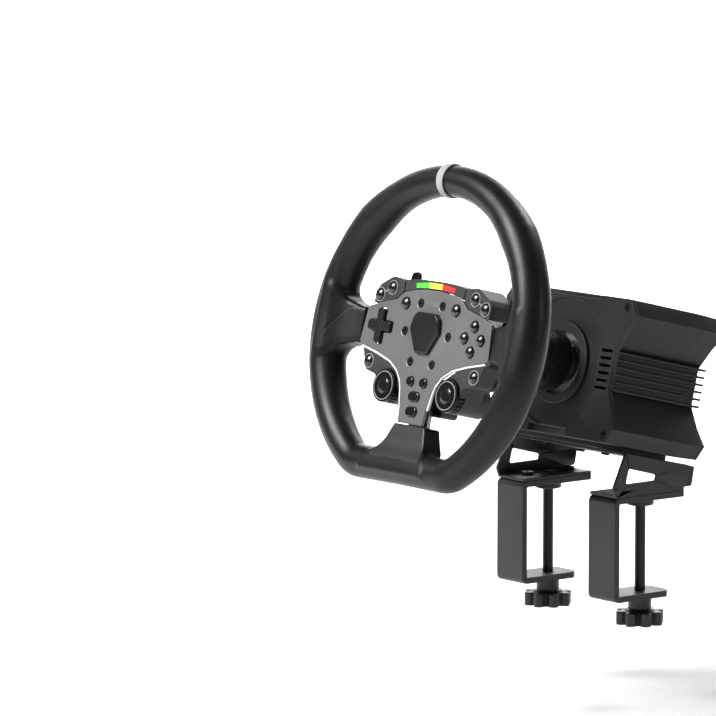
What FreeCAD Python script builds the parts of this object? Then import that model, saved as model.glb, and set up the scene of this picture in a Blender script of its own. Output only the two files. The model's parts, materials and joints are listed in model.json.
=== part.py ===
"""A racing wheel on a direct drive base, held to a desk edge by two screw clamps.

Frame: +X to the driver's right, +Y away from the driver, +Z up, in millimetres. The origin is
on the mid-plane, where the clamps' upper arms (undersides at Z = 0) meet their front plates
(inner faces at Y = 0), so a desk top fills Z < 0, Y > 0.

The steering column leans: its own frame has x right, y along the shaft away from the driver
and v up, with its origin at the centre of the wheel's face plate.
"""
import FreeCAD, Part
import math
import os
import re
from types import SimpleNamespace

import Sketcher
from FreeCAD import Placement, Rotation, Vector

SIZES = {
    # steering column
    "tilt_angle": 13.7,
    "wheel_reach": 145.0,
    "wheel_height": 146.8,
    # rim
    "rim_line": 128.0,
    "rim_tube": 26.4,
    "grip_tube": 32.4,
    "rim_setback": 1.8,
    "flat_drop": 112.4,
    "flat_corner": 24.0,
    "core_tube": 10.0,
    "marker_width": 8.0,
    # layers of the wheel, front to back
    "plate_thick": 3.0,
    "board_start": 6.0,
    "board_thick": 1.6,
    "frame_start": 9.0,
    "frame_thick": 4.0,
    "shell_start": 13.0,
    "shell_deep": 16.0,
    "pod_front": 0.5,
    "pod_deep": 25.5,
    "paddle_start": 32.0,
    "paddle_thick": 3.0,
    # controls
    "screw_circle": 28.2,
    "screw_head": 4.0,
    "screw_shank": 2.0,
    "face_button": 5.0,
    "action_button": 4.75,
    "action_circle": 10.6,
    "pod_button": 5.0,
    "play": 0.2,
    "travel": 1.2,
    "dial_radius": 13.9,
    "cap_radius": 7.0,
    "key_rise": 1.6,
    "button_rise": 3.2,
    # quick release and shaft
    "hub_radius": 22.0,
    "sleeve_radius": 25.4,
    "flange_radius": 34.0,
    "hub_end": 138.0,
    "spigot_radius": 15.0,
    "shaft_radius": 12.0,
    "running": 0.05,
    # motor base
    "base_start": 147.0,
    "cover_thick": 6.0,
    "base_end": 249.0,
    "taper_start": 227.0,
    "rear_thick": 3.0,
    "half_width": 83.7,
    "half_height": 60.7,
    "shoulder": 76.1,
    "shoulder_drop": 12.5,
    "waist": 61.5,
    "waist_rise": 16.3,
    "fin_reach": 66.75,
    "fin_pitch": 6.24,
    "fin_thick": 2.0,
    "ring_radius": 35.3,
    "ring_bore": 27.0,
    "dish_radius": 55.0,
    "motor_radius": 46.0,
    "bearing_radius": 18.0,
    "rotor_radius": 33.2,
    # bracket and clamps
    "sheet_thick": 2.5,
    "bracket_half": 76.9,
    "strap_thick": 5.3,
    "strap_width": 34.0,
    "strap_drop": 83.0,
    "upper_arm": 71.0,
    "lower_arm": 58.0,
    "bend_radius": 5.5,
    "screw_back": 37.2,
    "rod_radius": 4.5,
    "pad_radius": 11.3,
    "pad_thick": 4.0,
    "pad_gap": 2.0,
    "collar_radius": 9.75,
    "knob_radius": 20.6,
    "knob_height": 11.5,
}
SIDES = {"left": -1, "right": 1}
FIN_COUNT = 6
KNOB_LOBES = 8

doc = FreeCAD.newDocument("racing_wheel")
sheet = doc.addObject("Spreadsheet::Sheet", "sizes")
for row, (alias, value) in enumerate(SIZES.items(), start=1):
    sheet.set(f"A{row}", alias)
    sheet.set(f"B{row}", str(value))
    sheet.setAlias(f"B{row}", alias)
doc.recompute()
S = SimpleNamespace(**{alias: float(sheet.get(alias)) for alias in SIZES})

COLUMN = Placement(Vector(0, -S.wheel_reach, S.wheel_height), Rotation(Vector(1, 0, 0), -S.tilt_angle))
LEVEL = Placement()
ALONG = {
    "x": Rotation(Vector(0, 1, 0), 90),
    "y": Rotation(Vector(1, 0, 0), -90),
    "z": Rotation(),
}
MARKED = re.compile(r"[a-z_]+")
nodes = {}


# ---------------------------------------------------------------- helpers

def bind(thing, **sizes):
    """Bind properties to expressions written with the sheet's aliases."""
    for path, value in sizes.items():
        text = MARKED.sub(lambda word: "sizes." + word.group() if word.group() in SIZES else word.group(),
                          str(value))
        thing.setExpression(path.replace("__", "."), text)


def placed(thing, at, turn, frame=LEVEL):
    thing.Placement = frame.multiply(Placement(Vector(*at), turn))
    return thing


def cylinder(radius, length, at, along="y", frame=LEVEL):
    thing = doc.addObject("Part::Cylinder", "cylinder")
    bind(thing, Radius=radius, Height=length)
    return placed(thing, at, ALONG[along], frame)


def cone(radius_a, radius_b, length, at, along="y"):
    thing = doc.addObject("Part::Cone", "cone")
    bind(thing, Radius1=radius_a, Radius2=radius_b, Height=length)
    return placed(thing, at, ALONG[along])


def box(low, high, frame=LEVEL):
    """A box between two corners; a corner's numbers may be worked out from S."""
    thing = doc.addObject("Part::Box", "box")
    bind(thing, Length=high[0] - low[0], Width=high[1] - low[1], Height=high[2] - low[2])
    return placed(thing, low, Rotation(), frame)


def fuse(*things):
    if len(things) == 1:
        return things[0]
    thing = doc.addObject("Part::MultiFuse", "fusion")
    thing.Shapes = list(things)
    thing.Refine = True
    return thing


def cut(base, *tools):
    thing = doc.addObject("Part::Cut", "cut")
    thing.Base = base
    thing.Tool = fuse(*tools)
    thing.Refine = True
    return thing


def common(first, second):
    thing = doc.addObject("Part::Common", "common")
    thing.Base = first
    thing.Tool = second
    return thing


def node(name, *things, frame=COLUMN):
    """Name a finished piece, or a group of like pieces, and put it in its place."""
    thing = doc.addObject("Part::Compound", name)
    thing.Links = list(things)
    thing.Label = name
    thing.Placement = frame
    nodes[name] = thing
    return thing


def loop(*corners):
    """A closed outline; a corner is (a, b) or (a, b, radius)."""
    count = len(corners)
    spots = [Vector(corner[0], corner[1], 0) for corner in corners]
    ends = []
    for i, corner in enumerate(corners):
        if len(corner) < 3:
            ends.append((spots[i], None, spots[i]))
            continue
        back = (spots[i - 1] - spots[i]).normalize()
        ahead = (spots[(i + 1) % count] - spots[i]).normalize()
        half = back.getAngle(ahead) / 2
        run = corner[2] / math.tan(half)
        inward = (back + ahead).normalize()
        middle = spots[i] + inward * (corner[2] / math.sin(half) - corner[2])
        ends.append((spots[i] + back * run, middle, spots[i] + ahead * run))
    pieces = []
    for i, (first, middle, last) in enumerate(ends):
        if middle is not None:
            pieces.append(Part.Arc(first, middle, last))
        following = ends[(i + 1) % count][0]
        if (following - last).Length > 1e-6:
            pieces.append(Part.LineSegment(last, following))
    return pieces


def disc(a, b, radius):
    return [Part.Circle(Vector(a, b, 0), Vector(0, 0, 1), radius)]


def pill(a, b, half_a, half_b):
    round_off = 0.999 * min(half_a, half_b)
    return loop((a - half_a, b - half_b, round_off), (a + half_a, b - half_b, round_off),
                (a + half_a, b + half_b, round_off), (a - half_a, b + half_b, round_off))


def mirror(points):
    """Both halves of an outline given from the top centre down its right side."""
    return list(points) + [(-point[0],) + tuple(point[1:]) for point in reversed(points)]


def flip(points, side):
    return [(side * point[0],) + tuple(point[1:]) for point in points]


def plate(start, depth, outline, *holes, plane="XZ_Plane"):
    """A body padded from a sketch: outline and holes in the plane, from start over depth."""
    body = doc.addObject("PartDesign::Body", "plate")
    sketch = body.newObject("Sketcher::SketchObject", "outline")
    support = [feature for feature in body.Origin.OriginFeatures if feature.Role == plane][0]
    sketch.AttachmentSupport = [(support, "")]
    sketch.MapMode = "FlatFace"
    for pieces in (outline, *holes):
        sketch.addGeometry(pieces, False)
    backward = plane == "XZ_Plane"
    bind(sketch, AttachmentOffset__Base__z=f"-({start})" if backward else start)
    pad = body.newObject("PartDesign::Pad", "pad")
    pad.Profile = sketch
    pad.Reversed = backward
    bind(pad, Length=depth)
    return body


def section(pieces, at, turn):
    """A free sketch used as one section of a loft."""
    sketch = doc.addObject("Sketcher::SketchObject", "section")
    sketch.addGeometry(pieces, False)
    return placed(sketch, at, turn)


def loft(sections, closed=False):
    thing = doc.addObject("Part::Loft", "loft")
    thing.Sections = sections
    thing.Solid = True
    thing.Ruled = False
    thing.Closed = closed
    return thing


def ring(outer, inner, length, at):
    return cut(cylinder(outer, length, at), cylinder(inner, length, at))


# ---------------------------------------------------------------- wheel: rim, frame and covers

CORNER_V = S.flat_corner - S.flat_drop
CORNER_X = math.sqrt((S.rim_line - S.flat_corner) ** 2 - CORNER_V ** 2)
LOW_ANGLE = math.degrees(math.atan2(CORNER_V, CORNER_X))
GRIP_START = -40.0
GRIP_END = 56.0


def bow(radius, tube, middle, start, sweep):
    """Part of a torus in the rim's plane, from a start angle anticlockwise over a sweep."""
    thing = doc.addObject("Part::Torus", "bow")
    bind(thing, Radius1=radius, Radius2=tube, Angle3=sweep)
    turn = Rotation(Vector(1, 0, 0), 90).multiply(Rotation(Vector(0, 0, 1), start))
    return placed(thing, (middle[0], S.rim_setback, middle[1]), turn)


def hoop(tube, stops):
    """The flat-bottomed hoop; stops are the angles where its main arc is divided."""
    flat = cylinder(tube, 2 * CORNER_X, (-CORNER_X, S.rim_setback, -S.flat_drop), "x")
    corner_sweep = LOW_ANGLE + 90
    pieces = [flat, bow("flat_corner", tube, (CORNER_X, CORNER_V), -90, corner_sweep),
              bow("flat_corner", tube, (-CORNER_X, CORNER_V), 180 - LOW_ANGLE, corner_sweep)]
    for start, end in stops:
        pieces.append(bow("rim_line", tube, (0, 0), start, end - start))
    return pieces


def make_rim():
    """The grip: a round tube, thicker where the hands hold it."""
    stops = [(LOW_ANGLE, GRIP_START), (GRIP_END, 180 - GRIP_END), (180 - GRIP_START, 180 - LOW_ANGLE)]
    pieces = hoop("rim_tube / 2", stops)
    for start in (GRIP_START, 180 - GRIP_END):
        pieces.append(bow("rim_line", "grip_tube / 2", (0, 0), start, GRIP_END - GRIP_START))
    return fuse(*pieces)


BOLTS = [(S.screw_circle * math.cos(math.radians(60 * i)), S.screw_circle * math.sin(math.radians(60 * i)))
         for i in range(6)]
BAR_HALF = 9.0
BOTTOM_HALF = 12.0
RISER_IN = 100.0
RISER_OUT = 126.0
HUB_PLATE = 31.5


def make_frame():
    """The metal skeleton: hub plate, three spokes with risers, and the core hoop of the rim."""
    start = S.frame_start
    end = start + S.frame_thick
    front = S.rim_setback - 3
    bottom = -S.flat_drop - 2
    hub = cylinder(HUB_PLATE, "frame_thick", (0, start, 0))
    bars = box((-112, start, -BAR_HALF), (112, end, BAR_HALF))
    bottom_bar = box((-BOTTOM_HALF, start, -112), (BOTTOM_HALF, end, 0))
    risers = [box((min(side * RISER_IN, side * RISER_OUT), front, -BAR_HALF),
                  (max(side * RISER_IN, side * RISER_OUT), start, BAR_HALF)) for side in SIDES.values()]
    bottom_riser = box((-BOTTOM_HALF, front, bottom), (BOTTOM_HALF, start, -100))
    core = hoop("core_tube / 2", [(LOW_ANGLE, 180 - LOW_ANGLE)])
    solid = fuse(hub, bars, bottom_bar, *risers, bottom_riser, *core)
    holes = [cylinder("screw_shank + play", "frame_thick", (x, start, v)) for x, v in BOLTS]
    return cut(solid, *holes)


def spoke_sections(side):
    """Side spoke cover: (x, front y, back y, half height) from the face plate out to the rim."""
    shapes = []
    for x, front, back, half in ((84.6, 0.6, 18.0, 15.0), (99, -2.5, 18.0, 17.5), (115, -9.5, 15.0, 26.0)):
        pieces = loop((front, -half, 4), (back, -half, 4), (back, half, 4), (front, half, 4))
        turn = Rotation(Vector(0, 1, 0), Vector(0, 0, 1), Vector(1, 0, 0), "ZXY")
        shapes.append(section(pieces, (side * x, 0, 0), turn))
    return shapes


def bottom_sections():
    """Bottom spoke cover: (v, front y, back y, half width) from the face plate down to the rim."""
    shapes = []
    for v, front, back, half in ((-76.2, 0.3, 17.0, 20.6), (-90, -2.0, 17.0, 27.0), (-107, -8.0, 12.0, 35.0)):
        pieces = loop((-half, front, 2), (half, front, 2), (half, back, 4), (-half, back, 4))
        shapes.append(section(pieces, (0, 0, v), Rotation()))
    return shapes


frame = make_frame()
node("wheel_frame", frame)
rim_full = make_rim()
band_half = S.marker_width / 2
band_low = S.rim_line - S.rim_tube
band_box = box((-band_half, -40, band_low), (band_half, 40, S.rim_line + S.rim_tube))
rim_skin = cut(rim_full, frame)
node("rim_grip", cut(rim_skin, band_box))
node("centre_marker", common(rim_skin, band_box))
node("spoke_covers", *[cut(loft(spoke_sections(side)), frame, rim_full) for side in SIDES.values()])
node("bottom_spoke_cover", cut(loft(bottom_sections()), frame, rim_full))


# ---------------------------------------------------------------- wheel: face

PLATE_SIDE = [(9.4, 36.4), (23.5, 34.8, 8), (37.5, 31.6, 4), (42, 28, 3), (45.5, 25, 5), (63.5, 21, 20),
              (80.5, 16, 2), (84, -14, 2)]
PLATE_LOWER = [(80, -16.5), (58.6, -20.8), (40.5, -26, 12), (29, -33, 12), (22.4, -41.5, 10),
               (20.3, -47.8), (17.2, -62), (16, -75.5, 1)]
FACE_BUTTONS = (32.7, 22.6)
ACTION_CENTRE = (59.9, 1.3)
ACTIONS = {"top": 90, "left": 180, "right": 0, "bottom": 270}
DPAD_CENTRE = (-59.8, 1.0)
KEYS = {
    "centre_key_left": (-8.5, -40.6, 4.6, 4.0),
    "centre_key_right": (8.5, -40.6, 4.6, 4.0),
    "centre_key_middle": (0.0, -52.7, 7.0, 4.0),
    "centre_key_lower": (0.0, -65.2, 7.0, 4.0),
}
POD_BUTTONS = {"outer": (68.6, 26.9), "inner": (54.0, 33.8)}
LOWER_BUTTON = (68.7, -29.3)
DIAL_CENTRE = (41.0, -47.5)


def action_spot(angle):
    bend = math.radians(angle)
    return ACTION_CENTRE[0] + S.action_circle * math.cos(bend), ACTION_CENTRE[1] + S.action_circle * math.sin(bend)


def cross(half_long, half_wide, round_off):
    """A plus-shaped outline about the d-pad's centre."""
    a, b = DPAD_CENTRE
    tips = []
    for turn in range(4):
        bend = math.radians(90 * turn)
        for along, across in ((half_long, -half_wide), (half_long, half_wide), (half_wide, half_wide)):
            x = a + along * math.cos(bend) - across * math.sin(bend)
            v = b + along * math.sin(bend) + across * math.cos(bend)
            tips.append((x, v, round_off if along == half_long else 0.6))
    return loop(*tips)


STUDS = [(5, 26), (-5, 26), (47, -14), (-47, -14)]


def make_face_plate():
    """The metal face: one plate with an opening for each control, and studs for the board."""
    outline = loop(*mirror(PLATE_SIDE + PLATE_LOWER))
    slack = S.play
    holes = [cross(15.2, 4.9, 2)]
    holes += [disc(side * FACE_BUTTONS[0], FACE_BUTTONS[1], S.face_button + slack) for side in SIDES.values()]
    holes += [disc(*action_spot(angle), S.action_button + slack) for angle in ACTIONS.values()]
    holes += [pill(x, v, half_x + slack, half_v + slack) for x, v, half_x, half_v in KEYS.values()]
    holes += [disc(x, v, S.screw_shank + slack) for x, v in BOLTS]
    base = plate(0, "plate_thick", outline, *holes)
    seats = [cone("screw_head + 0.3", "screw_shank + play", 2.0, (x, 0, v)) for x, v in BOLTS]
    reach = S.board_start - S.plate_thick
    studs = [cylinder(2, reach, (x, S.plate_thick, v)) for x, v in STUDS]
    ears = []
    for side in (-1, 1):
        centre = DPAD_CENTRE[0] + side * 8.4
        ear = box((centre - 1.2, S.plate_thick, DPAD_CENTRE[1] - 8), (centre + 1.2, 8.0, DPAD_CENTRE[1] + 8))
        pin_hole = cylinder(0.85, 2.4, (centre - 1.2, GIMBAL_Y, DPAD_CENTRE[1]), "x")
        ears.append(cut(ear, pin_hole))
    return fuse(cut(base, *seats), *studs, *ears)


GIMBAL_Y = 5.4
node("face_plate", make_face_plate())

BADGE = [(12.5, 17.2, 2.5), (16.8, 13, 2.5), (19, 2.5, 4), (7.5, -17.2, 3)]
badge_body = plate(-4.0, 4.0, loop(*mirror(BADGE)))
badge_body.Label = "badge_plate"
doc.recompute()
badge_pad = badge_body.Tip
bevel = badge_body.newObject("PartDesign::Chamfer", "bevel")
front_edges = [f"Edge{i}" for i, edge in enumerate(badge_pad.Shape.Edges, start=1)
               if all(abs(vertex.Point.y + 4.0) < 1e-6 for vertex in edge.Vertexes)]
bevel.Base = (badge_pad, front_edges)
bevel.Size = 1.5
badge_body.Tip = bevel
node("badge", badge_body)


def make_face_screw(x, v):
    head = cone("screw_head", "screw_shank", 1.9, (x, 0.1, v))
    shank = cylinder("screw_shank", 16.0, (x, 1.5, v))
    socket = cylinder(1.3, 1.2, (x, 0.0, v))
    return cut(fuse(head, shank), socket)


node("face_screws", *[make_face_screw(x, v) for x, v in BOLTS])


def trim_outline(side):
    """A 1.6 wide strip that follows the face plate's lower edge."""
    gap, width = 0.15, 1.75
    edge = PLATE_LOWER[:-1]
    inner = [(x + 0.3 * gap, v - gap) for x, v in [point[:2] for point in edge[:3]]]
    inner += [(x + gap, v - 0.6 * gap) for x, v in [point[:2] for point in edge[3:]]]
    outer = []
    for i, (x, v) in enumerate(inner):
        before = inner[max(i - 1, 0)]
        after = inner[min(i + 1, len(inner) - 1)]
        run = Vector(after[0] - before[0], after[1] - before[1], 0).normalize()
        outer.append((x - run.y * (width - gap), v + run.x * (width - gap)))
    return loop(*flip(inner + outer[::-1], side))


node("trim_strips", *[plate(0.6, 2.2, trim_outline(side)) for side in SIDES.values()])

BEZEL_LOWER = [(38.0, 32.0), (23.5, 35.2), (9.4, 36.8)]
BEZEL_UPPER = [(14, 44.2), (26, 43.4), (39.2, 41.7)]
LED_LOWER_V = (37.6, 36.4)
LED_UPPER_V = (42.4, 40.4)


def make_bezel():
    """The hood above the face plate that holds the row of lights."""
    half = BEZEL_UPPER + BEZEL_LOWER
    outline = loop(*half, *[(-x, v) for x, v in half[::-1]])
    recess = plate("pod_front", 2.0, led_outline(0.2))
    return cut(plate("pod_front", "pod_deep", outline), recess)


def led_outline(grow):
    """The row of lights seen from the front, let out by a little for the slot that it sits in."""
    half = [(9.4, LED_UPPER_V[0] + grow), (25.6 + grow, LED_UPPER_V[1] + grow),
            (24.6 + grow, LED_LOWER_V[1] - grow), (9.4, LED_LOWER_V[0] - grow)]
    return loop(*half, *[(-x, v) for x, v in half[::-1]])


POD = [(42.9, 28.4), (46.2, 25.6), (63.8, 21.5, 12), (75.4, 18.6, 2), (74.5, 30, 4), (70.5, 35.7, 5),
       (55.5, 43.5, 6), (40.2, 41.4), (39.2, 32.2)]
POD_BORE = 8.0


def make_top_pod(side):
    body = plate("pod_front", "pod_deep", loop(*flip(POD, side)))
    bores = [cylinder("pod_button + play", POD_BORE, (side * x, S.pod_front, v)) for x, v in POD_BUTTONS.values()]
    return cut(body, *bores)


node("top_pods", make_bezel(), *[make_top_pod(side) for side in SIDES.values()])
node("led_lenses", *[common(plate(0.9, 1.6, led_outline(0)), box((x, -1, 30), (x + 3.2, 5, 50)))
                     for x in [-25.4 + 3.4 * i for i in range(15)]])

LOWER_POD = [(79.6, -18.8), (72.5, -36.5, 6), (57.5, -39.5, 4), (54, -52), (41, -56), (28, -52), (25.2, -44),
             (31.6, -35.6), (41.8, -28.4), (59.4, -22.9)]
DIAL_FRONT = -1.3
DIAL_BACK = 7.6
DIAL_STEM = 4.0


def make_lower_pod(side):
    """A lower pod with its dial barrel and the small barrel behind its button."""
    x, v = side * DIAL_CENTRE[0], DIAL_CENTRE[1]
    body = plate(1.5, 24.5, loop(*flip(LOWER_POD, side)))
    room = cylinder("dial_radius + 0.4", DIAL_BACK + 0.4 + 5, (x, -5, v))
    barrel = cylinder("dial_radius", 28, (x, DIAL_BACK + 0.4, v))
    stem_bore = cylinder(DIAL_STEM + S.running, 8, (x, DIAL_BACK + 0.4, v))
    button_x, button_v = side * LOWER_BUTTON[0], LOWER_BUTTON[1]
    bore = cylinder("pod_button + play", POD_BORE, (button_x, 0, button_v))
    small_barrel = cylinder(8, 14, (button_x, 20, button_v))
    return cut(fuse(cut(body, room), barrel, small_barrel), stem_bore, bore)


node("lower_pods", *[make_lower_pod(side) for side in SIDES.values()])


# ---------------------------------------------------------------- wheel: inside and back

BOARD = [(30, 31), (40, 24), (70, 14), (76, -11), (40, -22), (20, -34), (14, -72)]
SHELL = [(30, 31, 4), (58, 14, 6), (58, -14, 6), (36, -24, 4), (25, -40, 4), (25, -66, 4)]
SHELL_ROOM = [(28, 28), (55, 11), (55, -11), (33, -22), (22, -40), (22, -63)]
PIVOT_X = 37.0
PIVOT_Y = 33.5


def make_wheel_board():
    holes = [disc(x, v, S.screw_shank + 0.4) for x, v in BOLTS]
    holes.append(loop(*[(DPAD_CENTRE[0] + a * 11, DPAD_CENTRE[1] + b * 9)
                        for a, b in ((-1, -1), (1, -1), (1, 1), (-1, 1))]))
    return plate("board_start", "board_thick", loop(*mirror(BOARD)), *holes)


def make_rear_housing():
    """The closed back of the wheel, with the hinge ears and pins that carry the paddles."""
    back = S.shell_start + S.shell_deep
    opening = disc(0, 0, S.flange_radius + 0.3)
    shell = plate("shell_start", "shell_deep", loop(*mirror(SHELL)))
    room = plate("shell_start", "shell_deep - 3", loop(*mirror(SHELL_ROOM)))
    through = plate("shell_start", "shell_deep", opening)
    hinges = []
    for side in SIDES.values():
        x = side * PIVOT_X
        for low in (-11.0, 8.3):
            hinges.append(box((x - 3, back - 1, low), (x + 3, PIVOT_Y + 3, low + 2.7)))
        hinges.append(cylinder(1.5, 20, (x, PIVOT_Y, -10), "z"))
    return fuse(cut(shell, room, through), *hinges)


def make_hub():
    """The quick release hub: bolted flange, collar and barrel, bored for the shaft's spigot."""
    start = S.shell_start
    flange = cylinder("flange_radius", 6, (0, start, 0))
    collar = cylinder("sleeve_radius", 84 - start, (0, start, 0))
    barrel = cylinder("hub_radius", "hub_end - shell_start", (0, start, 0))
    bore = cylinder("spigot_radius + running", 80, (0, 60, 0))
    holes = [cylinder("screw_shank", 6, (x, start, v)) for x, v in BOLTS]
    return cut(fuse(flange, collar, barrel), bore, *holes)


def make_sleeve():
    """The release sleeve, which is pulled towards the driver to free the wheel."""
    start = 92.0
    body = ring("sleeve_radius", "hub_radius + running", 48, (0, start, 0))
    grooves = [ring(S.sleeve_radius + 1, S.sleeve_radius - 0.8, 1.6, (0, start + 12 + 3.4 * i, 0)) for i in range(6)]
    return cut(body, *grooves)


node("wheel_board", make_wheel_board())
node("rear_housing", make_rear_housing())
node("qr_hub", make_hub())
node("qr_sleeve", make_sleeve())

PADDLE = [(36, -7.8), (41, -7.8), (50, -11, 4), (72, -9, 8), (80, 4, 10), (77, 26, 8), (71.5, 50.5, 4), (61.5, 52, 4),
          (59, 34, 8), (56, 20, 10), (46, 9, 6), (36, 7.8)]


def make_paddle(side):
    """A shift paddle: a plate with a barrel that turns on its hinge pin."""
    blade = plate("paddle_start", "paddle_thick", loop(*flip(PADDLE, side)))
    barrel = cylinder(2.9, 15.6, (side * PIVOT_X, PIVOT_Y, -7.8), "z")
    hole = cylinder(1.5 + S.running, 20, (side * PIVOT_X, PIVOT_Y, -10), "z")
    clear = cylinder(2.9, 40, (side * PIVOT_X, PIVOT_Y, 7.8), "z")
    return cut(fuse(blade, barrel), hole, clear)


for name, side in SIDES.items():
    node(f"paddle_{name}", make_paddle(side))


# ---------------------------------------------------------------- wheel: controls

def make_button(x, v, radius, front, back, dome, *flanges):
    """A domed round button; dome is how far its middle stands above its edge."""
    ball_radius = (radius ** 2 + dome ** 2) / (2 * dome)
    stem = cylinder(radius, back - front, (x, front, v))
    ball = doc.addObject("Part::Sphere", "dome")
    bind(ball, Radius=ball_radius)
    ball.Placement = Placement(Vector(x, front + ball_radius, v), Rotation())
    return common(fuse(stem, *flanges), ball)


def make_plate_button(x, v, radius):
    """A button behind the face plate, kept in by a flange wider than its opening."""
    flange = cylinder(radius + 1.0, 1.0, (x, S.plate_thick + 0.15, v))
    return make_button(x, v, radius, -S.button_rise, 4.4, 1.8, flange)


for name, side in SIDES.items():
    node(f"face_button_{name}", make_plate_button(side * FACE_BUTTONS[0], FACE_BUTTONS[1], S.face_button))
for name, angle in ACTIONS.items():
    node(f"action_button_{name}", make_plate_button(*action_spot(angle), S.action_button))
for name, side in SIDES.items():
    for place, (x, v) in POD_BUTTONS.items():
        node(f"pod_button_{name}_{place}", make_button(side * x, v, S.pod_button, -2.6, 6.6, 1.8))
    node(f"lower_button_{name}", make_button(side * LOWER_BUTTON[0], LOWER_BUTTON[1], S.pod_button, -1.6, 6.0, 1.8))


def make_key(x, v, half_x, half_v):
    cap = plate("-key_rise", 4.6 + S.key_rise, pill(x, v, half_x, half_v))
    flange = plate(S.plate_thick + 0.15, 1.0, pill(x, v, half_x + 0.7, half_v + 0.7))
    return fuse(cap, flange)


for name, (x, v, half_x, half_v) in KEYS.items():
    node(name, make_key(x, v, half_x, half_v))


def make_dpad():
    """The cross pad on its stem, with the upright pin that it rocks on sideways."""
    pad = plate(-3.0, 4.5, cross(14.3, 4.0, 1.8))
    a, b = DPAD_CENTRE
    stem = box((a - 2.2, 1.0, b - 2.2), (a + 2.2, GIMBAL_Y + 1.4, b + 2.2))
    pin = cylinder(0.8, 11.0, (a, GIMBAL_Y, b - 5.5), "z")
    return fuse(pad, stem, pin)


def make_gimbal():
    """The frame between the cross pad and the face plate, with its own level pins."""
    a, b = DPAD_CENTRE
    outer = box((a - 6, 4.0, b - 6), (a + 6, 6.8, b + 6))
    inner = box((a - 3.2, 3.9, b - 3.2), (a + 3.2, 6.9, b + 3.2))
    bores = cylinder(0.85, 12.0, (a, GIMBAL_Y, b - 6), "z")
    pins = [cylinder(0.8, 3.5, (a - 9.2, GIMBAL_Y, b), "x"), cylinder(0.8, 3.5, (a + 5.7, GIMBAL_Y, b), "x")]
    return fuse(cut(outer, inner, bores), *pins)


node("dpad", make_dpad())
node("dpad_gimbal", make_gimbal())

CAP_BACK = 2.0


def make_dial(side):
    """A rotary dial: knurled drum, stem and a well for its push cap."""
    x, v = side * DIAL_CENTRE[0], DIAL_CENTRE[1]
    drum = cylinder("dial_radius", DIAL_BACK - DIAL_FRONT, (x, DIAL_FRONT, v))
    stem = cylinder(DIAL_STEM, 7, (x, DIAL_BACK, v))
    well = cylinder("cap_radius + play", CAP_BACK - DIAL_FRONT + 1.5, (x, DIAL_FRONT, v))
    count = 24
    notches = []
    for i in range(count):
        bend = 2 * math.pi * i / count
        notches.append(cylinder(0.8, DIAL_BACK - DIAL_FRONT - 2.0,
                                (x + S.dial_radius * math.cos(bend), DIAL_FRONT + 2.0, v + S.dial_radius * math.sin(bend))))
    return cut(fuse(drum, stem), well, *notches)


for name, side in SIDES.items():
    node(f"dial_{name}", make_dial(side))
    node(f"dial_cap_{name}", make_button(side * DIAL_CENTRE[0], DIAL_CENTRE[1], S.cap_radius, -2.6, CAP_BACK, 1.0))


# ---------------------------------------------------------------- motor base

def base_outline(scale=1.0, waist=S.waist, shrink=0.0):
    corner = S.half_height - S.shoulder_drop
    half = [(S.shoulder * scale - shrink, S.half_height * scale - shrink),
            (S.half_width * scale - shrink, corner * scale - 0.5 * shrink),
            (waist * scale, S.waist_rise * scale)]
    points = half + [(x, -v) for x, v in reversed(half)]
    return loop(*points, *[(-x, v) for x, v in reversed(points)])


TAPER = 0.985
ROOM = 6.2
PORTS = [-27.0, -9.0, 9.0, 27.0]
PORT_HALF = 6.5
PORT_LOW = -52.9
PORT_HIGH = -42.5
POWER_SPOT = (40.0, 42.0)
COVER_SCREWS = [(72.5, 53.0), (-72.5, 53.0), (72.5, -53.0), (-72.5, -53.0)]
REAR_SCREWS = [(x * 0.92, v * 0.94) for x, v in COVER_SCREWS]
RAIL_HALF = 55.0
RAIL_START = 158.0
RAIL_END = 236.0
RAIL_BOLTS = [(x, y) for x in (-42.0, 42.0) for y in (180.0, 226.0)]
BRACKET_TOP_V = -65.0


def turned_section(outline, y):
    """A section standing across the shaft: its sketch has x to the right and v up."""
    return section(outline, (0, y, 0), Rotation(Vector(1, 0, 0), 90))


def make_housing():
    """The extruded motor housing: finned waist, tapered rear end, foot rail, hollow inside."""
    start = S.base_start + S.cover_thick
    body = plate("base_start + cover_thick", "taper_start - base_start - cover_thick", base_outline())
    rear = loft([turned_section(base_outline(), S.taper_start), turned_section(base_outline(TAPER), S.base_end)])
    fins = []
    for side in SIDES.values():
        for i in range(FIN_COUNT):
            v = (i - (FIN_COUNT - 1) / 2) * S.fin_pitch
            reach = sorted((side * 56.0, side * S.fin_reach))
            fins.append(box((reach[0], start, v - S.fin_thick / 2),
                            (reach[1], S.base_end + S.rear_thick, v + S.fin_thick / 2)))
    rail = box((-RAIL_HALF, RAIL_START, BRACKET_TOP_V), (RAIL_HALF, RAIL_END, 1 - S.half_height))
    room = plate("base_start", "base_end - base_start + 20", base_outline(1.0, 54.0, ROOM))
    cover_holes = [cylinder(2.0, 14, (x, start, v)) for x, v in COVER_SCREWS]
    rail_holes = [cylinder(2.0, -S.half_height - BRACKET_TOP_V, (x, y, BRACKET_TOP_V), "z") for x, y in RAIL_BOLTS]
    return cut(fuse(body, rear, *fins, rail), room, *cover_holes, *rail_holes)


node("base_housing", make_housing())


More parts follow.
